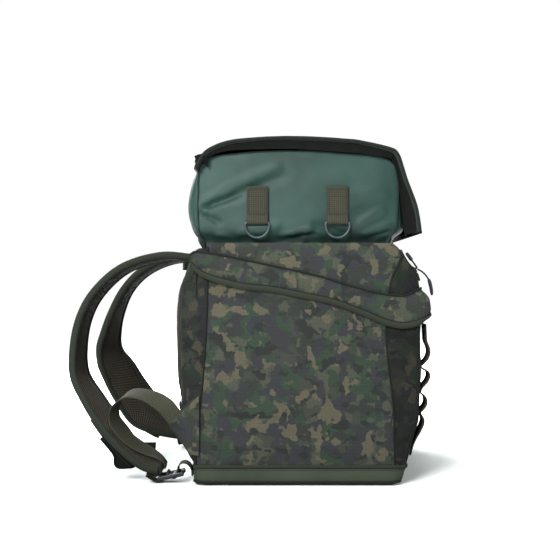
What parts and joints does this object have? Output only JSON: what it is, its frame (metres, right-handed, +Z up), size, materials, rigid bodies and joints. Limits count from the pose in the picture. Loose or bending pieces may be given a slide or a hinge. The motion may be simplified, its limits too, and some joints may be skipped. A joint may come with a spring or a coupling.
{
  "type": "tackle backpack",
  "caption": "Boxy fishing tackle backpack with a pull-up weather collar, hinged lid with front flap, zipped front pocket, yoke band, daisy chains and padded shoulder straps.",
  "frame": {"origin": "centre of the base boot's underside, on the surface the bag stands on", "axes": "+X to the front of the bag, -X to the wearer's back, -Y to the wearer's left, +Z up"},
  "size_m": [0.5279, 0.3847, 0.49],
  "materials": {
    "camo_cloth": "woven camouflage",
    "green_coated_cloth": "coated, satin",
    "olive_coated_cloth": "coated, satin",
    "black_lining": "matte",
    "lid_cloth": "woven",
    "strap_cloth": "woven",
    "spacer_mesh": "mesh",
    "strap_foam": "foam",
    "olive_webbing": "ribbed webbing",
    "black_plastic": "moulded",
    "ring_metal": "satin",
    "board": "matte"
  },
  "bodies": {
    "pack": {"base_boot": "olive_coated_cloth", "base_board": "board", "left_side_panel": "camo_cloth", "right_side_panel": "camo_cloth", "back_panel": "camo_cloth", "back_pad": "camo_cloth", "front_panel": "camo_cloth", "pocket_front": "camo_cloth", "pocket_top": "camo_cloth", "pocket_left_gusset": "camo_cloth", "pocket_right_gusset": "camo_cloth", "pocket_zip": "black_plastic", "left_yoke_wing": "camo_cloth", "right_yoke_wing": "camo_cloth", "front_yoke_band": "camo_cloth", "left_yoke_binding": "olive_webbing", "right_yoke_binding": "olive_webbing", "left_daisy_chain": "olive_webbing", "right_daisy_chain": "olive_webbing", "haul_handle": "olive_webbing", "left_lower_wing": "camo_cloth", "right_lower_wing": "camo_cloth", "left_adjuster_webbing": "olive_webbing", "right_adjuster_webbing": "olive_webbing"},
    "collar": {"collar_left_side": "green_coated_cloth", "collar_right_side": "green_coated_cloth", "collar_front": "green_coated_cloth", "collar_back": "green_coated_cloth"},
    "collar_foot": {"left_rear_ring_tab": "olive_webbing", "left_front_ring_tab": "olive_webbing", "right_rear_ring_tab": "olive_webbing", "right_front_ring_tab": "olive_webbing"},
    "lid": {"lid_top": "lid_cloth", "lid_left_gusset": "black_lining", "lid_right_gusset": "black_lining"},
    "flap": {"lid_flap": "lid_cloth", "flap_left_gusset": "black_lining", "flap_right_gusset": "black_lining", "flap_hook_strip": "black_lining"},
    "left_rear_ring": {"left_rear_d_ring": "ring_metal"},
    "left_front_ring": {"left_front_d_ring": "ring_metal"},
    "left_slider": {"left_zip_slider": "black_plastic"},
    "left_puller": {"left_zip_puller": "black_plastic"},
    "left_strap": {"left_strap_cover": "strap_cloth", "left_strap_foam": "strap_foam", "left_strap_mesh": "spacer_mesh", "left_lock_loop": "olive_webbing"},
    "left_lock": {"left_ladder_lock": "black_plastic", "left_adjuster_tail": "olive_webbing"},
    "right_rear_ring": {"right_rear_d_ring": "ring_metal"},
    "right_front_ring": {"right_front_d_ring": "ring_metal"},
    "right_slider": {"right_zip_slider": "black_plastic"},
    "right_puller": {"right_zip_puller": "black_plastic"},
    "right_strap": {"right_strap_cover": "strap_cloth", "right_strap_foam": "strap_foam", "right_strap_mesh": "spacer_mesh", "right_lock_loop": "olive_webbing"},
    "right_lock": {"right_ladder_lock": "black_plastic", "right_adjuster_tail": "olive_webbing"}
  },
  "joints": [
    {"name": "collar_collapse", "type": "slide", "parent": "pack", "child": "collar", "axis": [0, 0, -1], "range_m": [0, 0.08]},
    {"name": "collar_foot_drop", "type": "slide", "parent": "pack", "child": "collar_foot", "axis": [0, 0, -1], "range_m": [0, 0.022]},
    {"name": "lid_hinge", "type": "hinge", "parent": "collar", "child": "lid", "pos_m": [-0.148, 0, 0.447], "axis": [0, -1, 0], "range_deg": [0, 110]},
    {"name": "flap_swing", "type": "hinge", "parent": "lid", "child": "flap", "pos_m": [0.131, 0, 0.471], "axis": [0, -1, 0], "range_deg": [0, 37]},
    {"name": "left_rear_ring_swing", "type": "hinge", "parent": "collar_foot", "child": "left_rear_ring", "pos_m": [-0.06, -0.1738, 0.369], "axis": [-1, 0, 0], "range_deg": [0, 85]},
    {"name": "left_front_ring_swing", "type": "hinge", "parent": "collar_foot", "child": "left_front_ring", "pos_m": [0.053, -0.1738, 0.369], "axis": [-1, 0, 0], "range_deg": [0, 85]},
    {"name": "right_rear_ring_swing", "type": "hinge", "parent": "collar_foot", "child": "right_rear_ring", "pos_m": [-0.06, 0.1738, 0.369], "axis": [1, 0, 0], "range_deg": [0, 85]},
    {"name": "right_front_ring_swing", "type": "hinge", "parent": "collar_foot", "child": "right_front_ring", "pos_m": [0.053, 0.1738, 0.369], "axis": [1, 0, 0], "range_deg": [0, 85]},
    {"name": "left_slider_travel", "type": "slide", "parent": "pack", "child": "left_slider", "axis": [0, -1, 0], "range_m": [0, 0.015]},
    {"name": "right_slider_travel", "type": "slide", "parent": "pack", "child": "right_slider", "axis": [0, 1, 0], "range_m": [0, 0.28]},
    {"name": "left_puller_swing", "type": "hinge", "parent": "left_slider", "child": "left_puller", "pos_m": [0.169, -0.146, 0.3048], "axis": [0, 1, 0], "range_deg": [0, 150]},
    {"name": "right_puller_swing", "type": "hinge", "parent": "right_slider", "child": "right_puller", "pos_m": [0.169, -0.132, 0.3048], "axis": [0, -1, 0], "range_deg": [0, 80]},
    {"name": "left_strap_swing", "type": "hinge", "parent": "pack", "child": "left_strap", "pos_m": [-0.1548, -0.076, 0.321], "axis": [0, 1, 0], "range_deg": [0, 12], "deforming": ["left_adjuster_webbing"]},
    {"name": "left_lock_tilt", "type": "hinge", "parent": "left_strap", "child": "left_lock", "pos_m": [-0.1988, -0.152, 0.0065], "axis": [0, -1, 0], "range_deg": [0, 20]},
    {"name": "right_strap_swing", "type": "hinge", "parent": "pack", "child": "right_strap", "pos_m": [-0.1548, 0.076, 0.321], "axis": [0, 1, 0], "range_deg": [0, 12], "deforming": ["right_adjuster_webbing"]},
    {"name": "right_lock_tilt", "type": "hinge", "parent": "right_strap", "child": "right_lock", "pos_m": [-0.1958, 0.148, 0.012], "axis": [0, -1, 0], "range_deg": [0, 20]}
  ],
  "couplings": [
    {"joint": "collar_foot_drop", "follows": "collar_collapse", "ratio": 0.275},
    {"joint": "flap_swing", "follows": "collar_collapse", "rad_per_m": 8.0711}
  ]
}
